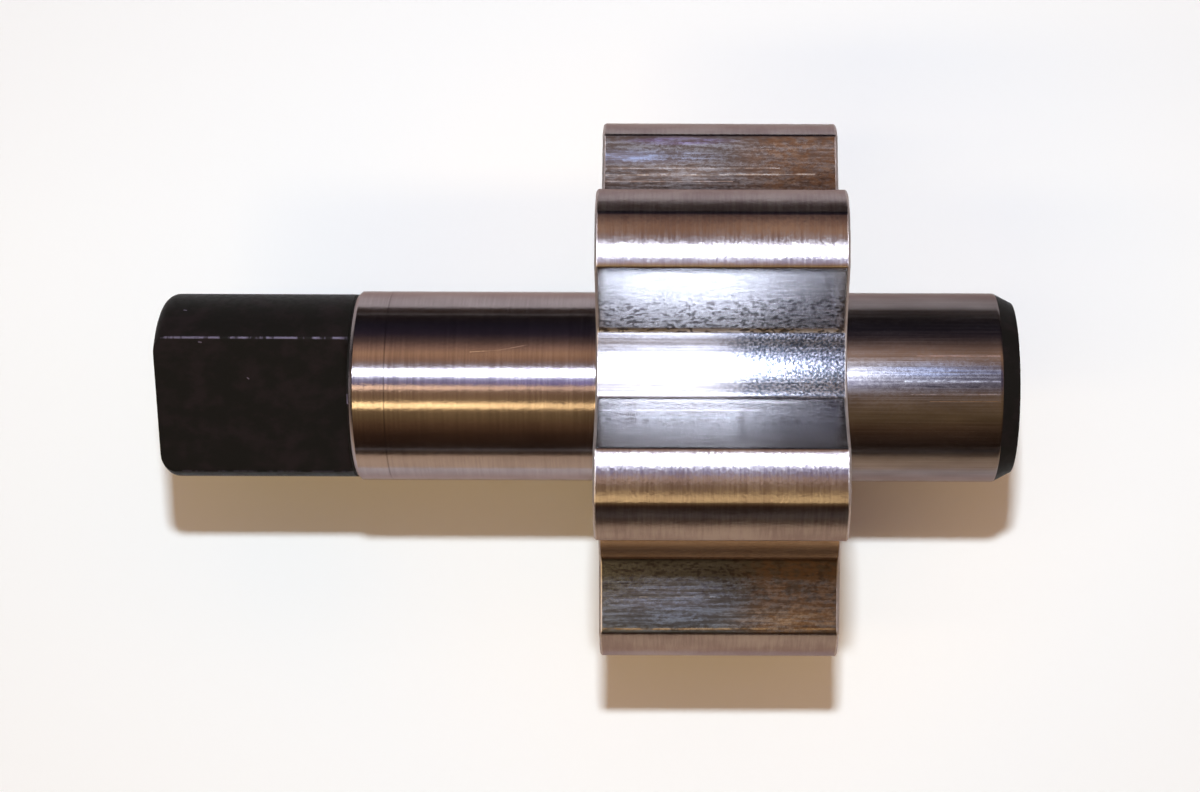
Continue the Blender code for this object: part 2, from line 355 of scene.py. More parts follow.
def loft(name):
    """Skin the rings with quads and close both centre holes, each face with the slot index of its finish."""
    mesh = bpy.data.meshes.new(name)
    work = bmesh.new()
    loops = [[work.verts.new(point) for point in points] for points, _ in rings]
    first_tip = work.verts.new(on_section(CENTRE_BOTTOM_DEPTH, 0.0, 0.0))
    last_tip = work.verts.new(on_section(LENGTH - CENTRE_BOTTOM_DEPTH, 0.0, 0.0))
    for near, far, (_, finish) in zip(loops, loops[1:], rings):
        for index in range(outline_count):
            after = (index + 1) % outline_count
            face = work.faces.new((near[index], near[after], far[after], far[index]))
            region = outline[index][1] if finish == "teeth" else finish
            face.material_index = FINISHES.index(region)
    for index in range(outline_count):
        after = (index + 1) % outline_count
        work.faces.new((first_tip, loops[0][after], loops[0][index])).material_index = FINISHES.index("bore")
        work.faces.new((loops[-1][index], loops[-1][after], last_tip)).material_index = FINISHES.index("bore")
    work.to_mesh(mesh)
    work.free()
    mesh.shade_smooth()
    mesh.set_sharp_from_angle(angle=SHARP_EDGE_ANGLE)
    piece = bpy.data.objects.new(name, mesh)
    bpy.context.scene.collection.objects.link(piece)
    return piece


shaft = loft("pump_shaft")


# Steel surfaces.
# The bar is plain carbon steel, cut and ground bright. What the eye sees is the lay: the fine parallel
# grooves that each tool leaves spread a highlight across themselves and keep it sharp along themselves.
TO_MM = 1000.0
SOFT_ENDS = {"interpolation_type": "SMOOTHSTEP"}
MULTIPLY = {"operation": "MULTIPLY"}
SUBTRACT = {"operation": "SUBTRACT"}
ABSOLUTE = {"operation": "ABSOLUTE"}
COLOUR_MIX = {"data_type": "RGBA"}
# A Mix node's sockets share their names between kinds of value, so its colour sockets go by number.
MIX_FIRST = 6
MIX_SECOND = 7
MIX_RESULT = 2


def linear(hex_colour):
    """An sRGB hex colour as linear red, green, blue and alpha."""
    channels = [int(hex_colour[index:index + 2], 16) / 255 for index in (0, 2, 4)]
    return [c / 12.92 if c <= 0.04045 else ((c + 0.055) / 1.055) ** 2.4 for c in channels] + [1.0]


def add_node(tree, kind, settings=None, inputs=None):
    """Add one node with its settings. Each input is given a plain value, or the output that feeds it."""
    added = tree.nodes.new(kind)
    for name, value in (settings or {}).items():
        setattr(added, name, value)
    for name, value in (inputs or {}).items():
        if isinstance(value, bpy.types.NodeSocket):
            tree.links.new(value, added.inputs[name])
        else:
            added.inputs[name].default_value = value
    return added


def new_material(name):
    """A Principled material with its node tree, its shader and its object coordinates in mm."""
    material = bpy.data.materials.new(name)
    material.use_nodes = True
    tree = material.node_tree
    place = add_node(tree, "ShaderNodeTexCoord").outputs["Object"]
    in_mm = add_node(tree, "ShaderNodeVectorMath", {"operation": "SCALE"}, {0: place, "Scale": TO_MM})
    return material, tree, tree.nodes["Principled BSDF"], in_mm.outputs[0]


def grain(tree, place, spacing, detail=2.0, rough=0.6):
    """Noise whose features are about so many mm long along each axis, from 0 to 1."""
    scales = tuple(1 / length for length in spacing)
    scaled = add_node(tree, "ShaderNodeVectorMath", MULTIPLY, {0: place, 1: scales})
    noise = add_node(tree, "ShaderNodeTexNoise", None, {
        "Vector": scaled.outputs[0], "Scale": 1.0, "Detail": detail, "Roughness": rough,
    })
    return noise.outputs["Fac"]


def overlap(tree, *masks):
    """Mask of where several masks overlap; all but the first may be plain shares."""
    shared = masks[0]
    for mask in masks[1:]:
        shared = add_node(tree, "ShaderNodeMath", MULTIPLY, {0: shared, 1: mask}).outputs[0]
    return shared


def weighed_sum(tree, *parts):
    """Sum of several masks or heights, each given with its weight."""
    total = 0.0
    for value, weight in parts:
        term = {0: value, 1: weight, 2: total}
        total = add_node(tree, "ShaderNodeMath", {"operation": "MULTIPLY_ADD"}, term).outputs[0]
    return total


def tint(tree, shader, colour, *masks):
    """Lay a colour over the base colour as far as the masks overlap."""
    layers = {
        "Factor": overlap(tree, *masks),
        MIX_FIRST: shader.inputs["Base Color"].links[0].from_socket,
        MIX_SECOND: linear(colour),
    }
    mixed = add_node(tree, "ShaderNodeMix", COLOUR_MIX, layers)
    tree.links.new(mixed.outputs[MIX_RESULT], shader.inputs["Base Color"])


def stroke(tree, place, start, end, width):
    """Mask of one straight mark between two points in mm, with soft sides so many mm from its middle line."""
    run = Vector(end) - Vector(start)
    offset = add_node(tree, "ShaderNodeVectorMath", SUBTRACT, {0: place, 1: start}).outputs[0]
    share_axis = tuple(run / run.length_squared)
    dot = add_node(tree, "ShaderNodeVectorMath", {"operation": "DOT_PRODUCT"}, {0: offset, 1: share_axis})
    share = add_node(tree, "ShaderNodeClamp", None, {"Value": dot.outputs["Value"]}).outputs[0]
    nearest = add_node(tree, "ShaderNodeVectorMath", {"operation": "SCALE"}, {0: tuple(run), "Scale": share})
    ends = {0: offset, 1: nearest.outputs[0]}
    apart = add_node(tree, "ShaderNodeVectorMath", {"operation": "DISTANCE"}, ends).outputs["Value"]
    return add_node(tree, "ShaderNodeMapRange", SOFT_ENDS, {
        "Value": apart, "From Min": width, "From Max": 0.0,
    }).outputs["Result"]


def sheen(tree, place, centre, reach):
    """Mask that fades out from a point in mm, with its reach in mm along each axis."""
    offset = add_node(tree, "ShaderNodeVectorMath", SUBTRACT, {0: place, 1: centre}).outputs[0]
    scaled = add_node(tree, "ShaderNodeVectorMath", {"operation": "DIVIDE"}, {0: offset, 1: reach}).outputs[0]
    apart = add_node(tree, "ShaderNodeVectorMath", {"operation": "LENGTH"}, {0: scaled}).outputs["Value"]
    return add_node(tree, "ShaderNodeMapRange", SOFT_ENDS, {
        "Value": apart, "From Min": 1.0, "From Max": 0.0,
    }).outputs["Result"]


# Marks break off, and sheens are streaked, at about these sizes along each axis.
MARK_BREAKS = (1.2, 0.3, 0.3)
SHEEN_STREAKS = (5.0, 0.16, 0.16)


def draw_marks(tree, place, shader, marks):
    """Draw broken scratches and painted highlight lines: ends and half width in mm, colour and strength."""
    broken = add_node(tree, "ShaderNodeMapRange", SOFT_ENDS, {
        "Value": grain(tree, place, MARK_BREAKS, detail=3.0), "From Min": 0.40, "From Max": 0.58,
        "To Min": 0.2,
    }).outputs["Result"]
    for start, end, width, colour, strength in marks:
        tint(tree, shader, colour, stroke(tree, place, start, end, width), broken, strength)


def draw_painted_sheens(tree, place, shader, sheens):
    """Lay streaky patches of painted sheen on a surface, each as centre and reach in mm, colour and strength.
    """
    streaks = add_node(tree, "ShaderNodeMapRange", SOFT_ENDS, {
        "Value": grain(tree, place, SHEEN_STREAKS, detail=3.0), "From Min": 0.36, "From Max": 0.6,
        "To Min": 0.25,
    }).outputs["Result"]
    for centre, reach, colour, strength in sheens:
        tint(tree, shader, colour, sheen(tree, place, centre, reach), streaks, strength)


def relief(tree, shader, height, depth):
    """Bump with a height from 0 to 1 that stands for so many mm."""
    bump = add_node(tree, "ShaderNodeBump", None, {"Height": height, "Strength": 1.0, "Distance": depth * MM})
    tree.links.new(bump.outputs["Normal"], shader.inputs["Normal"])


def off_axis(tree, place):
    """Distance in mm from the shaft's axis."""
    flat = add_node(tree, "ShaderNodeVectorMath", MULTIPLY, {0: place, 1: (0, 1, 1)}).outputs[0]
    return add_node(tree, "ShaderNodeVectorMath", {"operation": "LENGTH"}, {0: flat}).outputs["Value"]


# The two directions of a lay, as the turn of the highlight that it stretches, in shares of a full turn.
ROUND_LAY = 0.25
ALONG_LAY = 0.0
# A thin oil film makes the steel reflect a little less, and warmer, at grazing angles.
GRAZING_TINT = "C4B2AC"
# Broad patches of slightly lighter and darker steel, from handling, in mm along each axis.
PATCH_SIZE = (6.0, 3.0, 3.0)


def lay_steel(name, *, tones, gloss, spread, turn, groove, fleck, depths, fleck_run=None, faced=False):
    """Bright steel with a lay.

    tones are its darkest and lightest colours, gloss its least and greatest roughness, spread and turn the
    strength and direction of its stretched highlight, groove and fleck the sizes in mm of its grooves and
    of the flecks in between, and depths the depths of both in mm. fleck_run is the stretch along the shaft,
    in mm, over which the flecks grow to their full depth. The grooves of a faced surface are rings round
    the axis.
    """
    material, tree, shader, place = new_material(name)
    groove_place = place
    if faced:
        groove_place = add_node(tree, "ShaderNodeCombineXYZ", None, {"X": off_axis(tree, place)}).outputs[0]
    grooves = grain(tree, groove_place, groove, detail=3.0)
    flecks = grain(tree, place, fleck)
    patches = grain(tree, place, PATCH_SIZE)
    shade = add_node(tree, "ShaderNodeMapRange", SOFT_ENDS, {
        "Value": weighed_sum(tree, (grooves, 0.5), (patches, 0.5)), "From Min": 0.35, "From Max": 0.65,
    }).outputs["Result"]
    colour = add_node(tree, "ShaderNodeMix", COLOUR_MIX, {
        "Factor": shade, MIX_FIRST: linear(tones[0]), MIX_SECOND: linear(tones[1]),
    }).outputs[MIX_RESULT]
    roughness = add_node(tree, "ShaderNodeMapRange", SOFT_ENDS, {
        "Value": weighed_sum(tree, (grooves, 0.6), (flecks, 0.4)), "From Min": 0.4, "From Max": 0.6,
        "To Min": gloss[0], "To Max": gloss[1],
    }).outputs["Result"]
    tangent = add_node(tree, "ShaderNodeTangent", {"direction_type": "RADIAL", "axis": "X"})
    shader.inputs["Metallic"].default_value = 1.0
    shader.inputs["Specular Tint"].default_value = linear(GRAZING_TINT)
    shader.inputs["Anisotropic"].default_value = spread
    shader.inputs["Anisotropic Rotation"].default_value = turn
    tree.links.new(tangent.outputs["Tangent"], shader.inputs["Tangent"])
    tree.links.new(colour, shader.inputs["Base Color"])
    tree.links.new(roughness, shader.inputs["Roughness"])
    if fleck_run is not None:
        station = add_node(tree, "ShaderNodeSeparateXYZ", None, {0: place}).outputs["X"]
        grown = add_node(tree, "ShaderNodeMapRange", SOFT_ENDS, {
            "Value": station, "From Min": fleck_run[0], "From Max": fleck_run[1], "To Min": 0.3,
        }).outputs["Result"]
        flecks = overlap(tree, flecks, grown)
    depth = sum(depths)
    relief(tree, shader, weighed_sum(tree, (grooves, depths[0] / depth), (flecks, depths[1] / depth)), depth)
    return material, tree, shader, place


# Bearing journal on the drive side: ground between centres, so the grooves run round the shaft and the
# highlight stays a thin line along it. The real grooves are about 0.02 mm apart; these are ten times as wide,
# so that they show. It has a turned line near the tang and one curved scratch.
journal, journal_tree, journal_shader, journal_place = lay_steel(
    "ground_bearing_journal", tones=("948B8E", "A69DA0"), gloss=(0.185, 0.215), spread=0.84, turn=ROUND_LAY,
    groove=(0.2, 6.0, 6.0), fleck=(0.4, 0.3, 0.3), depths=(0.003, 0.004),
)
journal_x = add_node(journal_tree, "ShaderNodeSeparateXYZ", None, {0: journal_place}).outputs["X"]
line_start = add_node(journal_tree, "ShaderNodeMapRange", SOFT_ENDS, {
    "Value": journal_x, "From Min": -16.42, "From Max": -16.34,
}).outputs["Result"]
line_end = add_node(journal_tree, "ShaderNodeMapRange", SOFT_ENDS, {
    "Value": journal_x, "From Min": -16.24, "From Max": -16.32,
}).outputs["Result"]
tint(journal_tree, journal_shader, "4A4448", line_start, line_end, 0.5)
draw_marks(journal_tree, journal_place, journal_shader, [
    ((-9.36, 1.89, 7.71), (-6.93, 2.07, 7.66), 0.05, "F0F0F4", 0.8),
    ((-6.93, 2.07, 7.66), (-4.75, 2.50, 7.53), 0.05, "F0F0F4", 0.7),
])

# Bearing journal on the cover side: polished along the shaft after grinding, so its highlight is a soft patch
# with long fine marks through it.
stub, stub_tree, stub_shader, stub_place = lay_steel(
    "polished_cover_journal", tones=("767072", "8C8688"), gloss=(0.16, 0.21), spread=0.5, turn=ALONG_LAY,
    groove=(14.0, 0.12, 0.12), fleck=(0.3, 0.25, 0.25), depths=(0.0014, 0.0014),
)
# Painted highlight: a bluish patch where the flash's highlight lies on this journal, which tints and narrows
# it.
draw_painted_sheens(stub_tree, stub_place, stub_shader, [((29.5, 0.6, 7.9), (9.0, 1.2, 3.0), "98A2C0", 0.7)])
draw_marks(stub_tree, stub_place, stub_shader, [
    ((27.0, 1.69, 7.76), (33.7, 1.71, 7.75), 0.08, "C0B8C8", 0.7),
    ((26.0, -0.41, 7.93), (33.7, -0.40, 7.93), 0.10, "FFFFFF", 1.0),
    ((27.0, -0.85, 7.89), (33.7, -0.85, 7.89), 0.16, "3C3840", 0.8),
    ((26.5, -1.46, 7.80), (33.7, -1.44, 7.81), 0.06, "D0CCD4", 0.8),
    ((28.0, -2.02, 7.68), (33.7, -2.00, 7.68), 0.05, "C8B8B0", 0.7),
])

# Tooth crests: ground with the outside diameter, then run close to the pump's wall, which leaves them duller
# than the journals, with a fine speckle in the highlight.
crest = lay_steel(
    "ground_tooth_crest", tones=("8C8286", "A49C9E"), gloss=(0.28, 0.36), spread=0.90, turn=ROUND_LAY,
    groove=(0.25, 3.0, 3.0), fleck=(0.2, 0.4, 0.4), depths=(0.002, 0.013),
)[0]

# Tooth flanks: cut along the axis and rolled smooth by the mating teeth. Specks of old oil lie near their
# roots, drawn a little coarser than the real ones so that they show. Painted shade darkens the outer teeth,
# the front flanks and their cover ends, and a painted reflection of the brown room browns the outer teeth by
# the cover.
flank, flank_tree, flank_shader, flank_place = lay_steel(
    "cut_tooth_flank", tones=("8A8686", "B0ACAE"), gloss=(0.17, 0.25), spread=0.72, turn=ALONG_LAY,
    groove=(3.0, 0.26, 0.26), fleck=(0.4, 0.26, 0.26), depths=(0.004, 0.004),
)
flank_split = add_node(flank_tree, "ShaderNodeSeparateXYZ", None, {0: flank_place})
flank_x = flank_split.outputs["X"]
flank_y = flank_split.outputs["Y"]
flank_across = add_node(flank_tree, "ShaderNodeMath", ABSOLUTE, {0: flank_y}).outputs[0]
# Painted shade: the flanks of the two outer teeth are darker.
outer_tooth = add_node(flank_tree, "ShaderNodeMapRange", SOFT_ENDS, {
    "Value": flank_across, "From Min": 12.5, "From Max": 14.5, "To Max": 0.8,
}).outputs["Result"]
tint(flank_tree, flank_shader, "4A464C", outer_tooth)
# Painted shade: the flanks on the front side are a little darker and bluer.
bluish_shade_front = add_node(flank_tree, "ShaderNodeMapRange", SOFT_ENDS, {
    "Value": flank_y, "From Min": 2.0, "From Max": -2.0, "To Max": 0.4,
}).outputs["Result"]
tint(flank_tree, flank_shader, "505C62", bluish_shade_front)
# Painted shade: the front flanks darken towards the cover end, where the flash's highlight fades.
painted_shade_end = add_node(flank_tree, "ShaderNodeMapRange", SOFT_ENDS, {
    "Value": flank_x, "From Min": 11.0, "From Max": 18.0,
}).outputs["Result"]
painted_shade_front = add_node(flank_tree, "ShaderNodeMapRange", SOFT_ENDS, {
    "Value": flank_y, "From Min": 2.0, "From Max": -2.0, "To Max": 0.45,
}).outputs["Result"]
tint(flank_tree, flank_shader, "4A484C", painted_shade_end, painted_shade_front)
near_root = add_node(flank_tree, "ShaderNodeMapRange", SOFT_ENDS, {
    "Value": off_axis(flank_tree, flank_place), "From Min": 19.2, "From Max": 17.8,
}).outputs["Result"]
specks = add_node(flank_tree, "ShaderNodeMapRange", SOFT_ENDS, {
    "Value": grain(flank_tree, flank_place, (0.5, 0.26, 0.26), detail=1.0), "From Min": 0.52,
    "From Max": 0.62, "To Max": 0.8,
}).outputs["Result"]
tint(flank_tree, flank_shader, "3C3638", near_root, specks)
# Painted reflection: the outer teeth turn brown towards the cover, where the brown room shows in place of the
# flash, broken into patches.
brown_end = add_node(flank_tree, "ShaderNodeMapRange", SOFT_ENDS, {
    "Value": flank_x, "From Min": 11.0, "From Max": 16.0,
}).outputs["Result"]
brown_patches = add_node(flank_tree, "ShaderNodeMapRange", SOFT_ENDS, {
    "Value": grain(flank_tree, flank_place, (0.9, 0.5, 0.5), detail=4.0, rough=0.7), "From Min": 0.40,
    "From Max": 0.60, "To Min": 0.35,
}).outputs["Result"]
tint(flank_tree, flank_shader, "7A6250", outer_tooth, brown_end, brown_patches)
# Painted sheens: bluish, lilac, grey and gold patches on the outer flanks, standing in for the flash's light
# and the golden strips there.
draw_painted_sheens(flank_tree, flank_place, flank_shader, [
    ((6.0, 17.2, 4.7), (12.0, 1.9, 4.0), "A8A4A8", 0.75),
    ((3.0, 18.8, 4.34), (9.5, 0.85, 3.0), "94A2C8", 0.9),
    ((7.5, 20.2, 4.05), (6.0, 0.5, 3.0), "7C70A4", 0.7),
    ((6.5, -17.8, 4.55), (8.5, 2.6, 4.0), "888FA8", 0.75),
    ((17.0, -19.6, 4.2), (8.0, 1.6, 3.0), "A88458", 0.4),
])
# Painted highlights: streaks of the flash's light along the outer flanks and along the front flank by the
# root, and one gold line, a painted reflection, along the lower outer tooth.
draw_marks(flank_tree, flank_place, flank_shader, [
    ((1.3, 17.77, 4.57), (15.9, 17.82, 4.55), 0.10, "E8E8EC", 0.6),
    ((1.3, 17.14, 4.72), (18.8, 17.30, 4.68), 0.12, "F0F0F0", 0.75),
    ((1.3, 16.60, 4.84), (12.0, 16.62, 4.84), 0.09, "E0DCE0", 0.6),
    ((4.5, -17.82, 4.55), (10.6, -17.8, 4.56), 0.09, "D8E0F4", 0.7),
    ((1.5, -20.43, 4.01), (20.5, -20.36, 4.02), 0.14, "D8B480", 0.5),
    ((1.5, -3.02, 15.72), (17.0, -3.02, 15.72), 0.24, "FFFFFF", 0.9),
    ((1.8, -3.70, 16.41), (14.0, -3.66, 16.38), 0.14, "FFFFFF", 0.9),
    ((3.0, -4.40, 17.00), (12.0, -4.36, 16.98), 0.10, "E0F0F0", 0.7),
])

# Root lands: cut along the axis, and bright as cut. The lands of the outer spaces get a warm tan tint, a
# painted reflection of the shaded table beside the gear. Fine pitting dulls the end of the middle ones by the
# cover, darkened further as painted shade where the flash's highlight fades.
land, land_tree, land_shader, land_place = lay_steel(
    "cut_root_land", tones=("7C787C", "98949A"), gloss=(0.19, 0.23), spread=0.8, turn=ALONG_LAY,
    groove=(20.0, 0.2, 0.2), fleck=(0.25, 0.18, 0.18), depths=(0.001, 0.010), fleck_run=(10.0, 15.0),
)
land_split = add_node(land_tree, "ShaderNodeSeparateXYZ", None, {0: land_place})
land_y = land_split.outputs["Y"]
land_across = add_node(land_tree, "ShaderNodeMath", ABSOLUTE, {0: land_y}).outputs[0]
# Pitting and painted shade: the middle lands are speckled and darker towards the cover end.
pitted_and_shaded_end = add_node(land_tree, "ShaderNodeMapRange", SOFT_ENDS, {
    "Value": land_split.outputs["X"], "From Min": 8.5, "From Max": 14.0,
}).outputs["Result"]
middle_space = add_node(land_tree, "ShaderNodeMapRange", SOFT_ENDS, {
    "Value": land_across, "From Min": 9.0, "From Max": 6.0,
}).outputs["Result"]
pits = add_node(land_tree, "ShaderNodeMapRange", SOFT_ENDS, {
    "Value": grain(land_tree, land_place, (0.22, 0.18, 0.18)), "From Min": 0.40, "From Max": 0.60,
    "To Min": 0.5, "To Max": 0.93,
}).outputs["Result"]
tint(land_tree, land_shader, "2A2E38", pitted_and_shaded_end, middle_space, pits)
# Painted reflection: a warm tan tint on the lands of the outer spaces.
outer_space = add_node(land_tree, "ShaderNodeMapRange", SOFT_ENDS, {
    "Value": land_across, "From Min": 11.0, "From Max": 12.0, "To Max": 0.7,
}).outputs["Result"]
tint(land_tree, land_shader, "C4A484", outer_space)

# Gear faces, broken edges and centre holes: the faces are turned, so their grooves are rings, the edges are
# filed, and the holes are drilled. None of them is ground, so they are paler and duller than the rest.
side = lay_steel(
    "turned_gear_face", tones=("9A9290", "B0A8A4"), gloss=(0.32, 0.38), spread=0.6, turn=ROUND_LAY,
    groove=(0.32, 1.0, 1.0), fleck=(0.4, 0.4, 0.4), depths=(0.009, 0.003), faced=True,
)[0]
edge = lay_steel(
    "filed_edge_break", tones=("B0A8A8", "C8C0C0"), gloss=(0.34, 0.42), spread=0.2, turn=ALONG_LAY,
    groove=(0.6, 0.3, 0.3), fleck=(0.3, 0.3, 0.3), depths=(0.004, 0.006),
)[0]
bore = lay_steel(
    "drilled_centre_hole", tones=("8A8280", "A09894"), gloss=(0.38, 0.46), spread=0.2, turn=ROUND_LAY,
    groove=(0.2, 0.6, 0.6), fleck=(0.3, 0.3, 0.3), depths=(0.004, 0.004),
)[0]

# Black oxide is the dark skin that hardening leaves where nothing is ground afterwards. It shows as near
# black with a dull gloss, browner in patches. It is rubbed through to steel along the edges of the flats, from
# RUB_REACH mm before an edge and fully from RUB_CORE mm, and chipped between the two ends of each chip. The
# rubbed steel is stronger on the edges towards the back, partly a painted highlight where the flash catches
# them.
black, black_tree, black_shader, black_place = new_material("black_oxide_skin")
TANG_CHIPS = [
    ((-33.2, 5.61, 5.23), (-33.0, 5.58, 5.26)),
    ((-31.6, 2.75, 6.85), (-31.4, 2.72, 6.86)),
    ((-27.8, -0.02, 5.48), (-27.7, -0.1, 5.45)),
    ((-19.32, -1.6, 7.46), (-19.3, -2.3, 7.3)),
]
CHIP_HALF_WIDTH = 0.09
RUB_REACH = 0.13
RUB_CORE = 0.05
FLAT_HALF_CHORD = math.sqrt(TANG_RADIUS ** 2 - HALF_ACROSS_FLATS ** 2)
flat_normal = (0.0, -math.sin(FLAT_CLOCKING), math.cos(FLAT_CLOCKING))
flat_across = (0.0, math.cos(FLAT_CLOCKING), math.sin(FLAT_CLOCKING))

patches = add_node(black_tree, "ShaderNodeMapRange", SOFT_ENDS, {
    "Value": grain(black_tree, black_place, (2.2, 1.8, 1.8), detail=3.0), "From Min": 0.42, "From Max": 0.68,
}).outputs["Result"]
skin = add_node(black_tree, "ShaderNodeMix", COLOUR_MIX, {
    "Factor": patches, MIX_FIRST: linear("181614"), MIX_SECOND: linear("201A1A"),
}).outputs[MIX_RESULT]
rubbed = []
for way, reach in ((flat_normal, HALF_ACROSS_FLATS), (flat_across, FLAT_HALF_CHORD)):
    dot = add_node(black_tree, "ShaderNodeVectorMath", {"operation": "DOT_PRODUCT"}, {0: black_place, 1: way})
    from_middle = add_node(black_tree, "ShaderNodeMath", ABSOLUTE, {0: dot.outputs["Value"]}).outputs[0]
    rubbed.append(add_node(black_tree, "ShaderNodeMapRange", SOFT_ENDS, {
        "Value": from_middle, "From Min": reach - RUB_REACH, "From Max": reach - RUB_CORE,
    }).outputs["Result"])
worn_places = add_node(black_tree, "ShaderNodeMapRange", SOFT_ENDS, {
    "Value": grain(black_tree, black_place, (0.9, 4.0, 4.0), detail=3.0), "From Min": 0.42, "From Max": 0.55,
}).outputs["Result"]
black_split = add_node(black_tree, "ShaderNodeSeparateXYZ", None, {0: black_place})
on_tang = add_node(black_tree, "ShaderNodeMapRange", SOFT_ENDS, {
    "Value": black_split.outputs["X"], "From Min": -18.0, "From Max": -19.0,
}).outputs["Result"]
# Partly painted highlight: the rubbed steel is stronger on the edges towards the back, where the flash catches
# them.
upper_edge = add_node(black_tree, "ShaderNodeMapRange", SOFT_ENDS, {
    "Value": black_split.outputs["Y"], "From Min": -1.0, "From Max": 1.0, "To Min": 0.15, "To Max": 0.6,
}).outputs["Result"]
wear_and_glint = overlap(black_tree, *rubbed, worn_places, on_tang, upper_edge)
for start, end in TANG_CHIPS:
    chip = stroke(black_tree, black_place, start, end, CHIP_HALF_WIDTH)
    wear_and_glint = add_node(black_tree, "ShaderNodeMath", {"operation": "MAXIMUM"}, {0: wear_and_glint, 1: chip}).outputs[0]
skin_or_steel = add_node(black_tree, "ShaderNodeMix", COLOUR_MIX, {
    "Factor": wear_and_glint, MIX_FIRST: skin, MIX_SECOND: linear("6E6678"),
}).outputs[MIX_RESULT]
skin_gloss = add_node(black_tree, "ShaderNodeMapRange", SOFT_ENDS, {
    "Value": grain(black_tree, black_place, (0.5, 0.5, 0.5)), "From Min": 0.3, "From Max": 0.7,
    "To Min": 0.44, "To Max": 0.54,
}).outputs["Result"]
black_shader.inputs["Specular IOR Level"].default_value = 0.04
black_tree.links.new(skin_or_steel, black_shader.inputs["Base Color"])
black_tree.links.new(wear_and_glint, black_shader.inputs["Metallic"])
black_tree.links.new(skin_gloss, black_shader.inputs["Roughness"])
scale = grain(black_tree, black_place, (0.35, 0.35, 0.35), detail=3.0)
relief(black_tree, black_shader, scale, depth=0.004)

materials = {
    "black": black,
    "journal": journal,
    "stub": stub,
    "side": side,
    "edge": edge,
    "crest": crest,
    "flank": flank,
    "land": land,
    "bore": bore,
}
for finish in FINISHES:
    shaft.data.materials.append(materials[finish])
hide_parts("oil_pump_shaft")
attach(shaft, "root")


# Table.
# White laminate, matt, on which the shaft lies on two of its teeth. It is a little lighter round the gear,
# which takes some of the room's light from it, and a little greyer below the flash, so that it looks evenly
# white.
TABLE_SIZE = 8.0
UNDER_THE_GEAR = (10.0, 0.0, 0.0)
table_level = min(vertex.co.z for vertex in shaft.data.vertices)
bpy.ops.mesh.primitive_plane_add(size=TABLE_SIZE, location=(0, 0, table_level))
table = bpy.context.object
table.name = "table"
table_material, table_tree, table_shader, table_place = new_material("white_laminate")
between = {0: table_place, 1: UNDER_THE_GEAR}
from_gear = add_node(table_tree, "ShaderNodeVectorMath", {"operation": "DISTANCE"}, between).outputs["Value"]
away = add_node(table_tree, "ShaderNodeMapRange", SOFT_ENDS, {
    "Value": from_gear, "From Min": 22.0, "From Max": 45.0,
}).outputs["Result"]
laminate = add_node(table_tree, "ShaderNodeMix", COLOUR_MIX, {
    "Factor": away, MIX_FIRST: linear("FBF8F3"), MIX_SECOND: linear("F5F7F6"),
}).outputs[MIX_RESULT]
table_tree.links.new(laminate, table_shader.inputs["Base Color"])
below_flash = add_node(table_tree, "ShaderNodeMapRange", SOFT_ENDS, {
    "Value": add_node(table_tree, "ShaderNodeSeparateXYZ", None, {0: table_place}).outputs["Y"],
    "From Min": 8.0, "From Max": 42.0, "To Max": 0.35,
}).outputs["Result"]
tint(table_tree, table_shader, "E4E6E8", below_flash)
table_shader.inputs["Roughness"].default_value = 0.7
table_shader.inputs["Specular IOR Level"].default_value = 0.2
# The lamps are close, so the table would go dark further out. There it stays pale to the eye and in the
# steel.
far_off = add_node(table_tree, "ShaderNodeMapRange", SOFT_ENDS, {
    "Value": from_gear, "From Min": 75.0, "From Max": 190.0,
}).outputs["Result"]
light_path = add_node(table_tree, "ShaderNodeLightPath")
seen = light_path.outputs["Is Camera Ray"]
for ray in ("Is Glossy Ray", "Is Transmission Ray"):
    either = {0: seen, 1: light_path.outputs[ray]}
    seen = add_node(table_tree, "ShaderNodeMath", {"operation": "MAXIMUM"}, either).outputs[0]
pale = add_node(table_tree, "ShaderNodeEmission", None, {"Color": linear("F4F3F2"), "Strength": 1.0})
surface = add_node(table_tree, "ShaderNodeMixShader", None, {
    0: overlap(table_tree, far_off, seen), 1: table_shader.outputs[0], 2: pale.outputs[0],
})
table_tree.links.new(surface.outputs[0], table_tree.nodes["Material Output"].inputs["Surface"])
table.data.materials.append(table_material)


# Lamps.
# A small flash beside the lens gives the thin highlights and the shadow, and lights the camera's own housing,
# which puts a lilac edge on them. A warm softbox far to the right fills the shadow, and two warm strips
# overhead draw the golden bands on the round surfaces.
def add_panel(name, place, aim, size, power, colour):
    """Rectangular lamp at a place in mm, turned to a point in mm, its size in mm and its power in watts."""
    lamp = bpy.data.lights.new(name, "AREA")
    lamp.shape = "RECTANGLE"
    lamp.size = size[0] * MM
    lamp.size_y = size[1] * MM
    lamp.energy = power
    lamp.color = linear(colour)[:3]
    holder = bpy.data.objects.new(name, lamp)
    bpy.context.scene.collection.objects.link(holder)
    holder.location = Vector(place) * MM
    away = (Vector(place) - Vector(aim)).normalized()
    long_way = Vector((1, 0, 0))
    long_way = (long_way - away * long_way.dot(away)).normalized()
    short_way = away.cross(long_way)
    holder.rotation_euler = Matrix((long_way, short_way, away)).transposed().to_euler()


SHAFT_MIDDLE = (0, 0, 0)
add_panel("flash", place=(7.5, 38.7, 249), aim=SHAFT_MIDDLE, size=(14, 8), power=0.695, colour="DCEAF6")
add_panel("housing", place=(7.5, 20, 251), aim=SHAFT_MIDDLE, size=(60, 90), power=0.014, colour="A090FF")
add_panel("warm_right", place=(900, 0, 560), aim=SHAFT_MIDDLE, size=(420, 420), power=0.3, colour="FFC890")

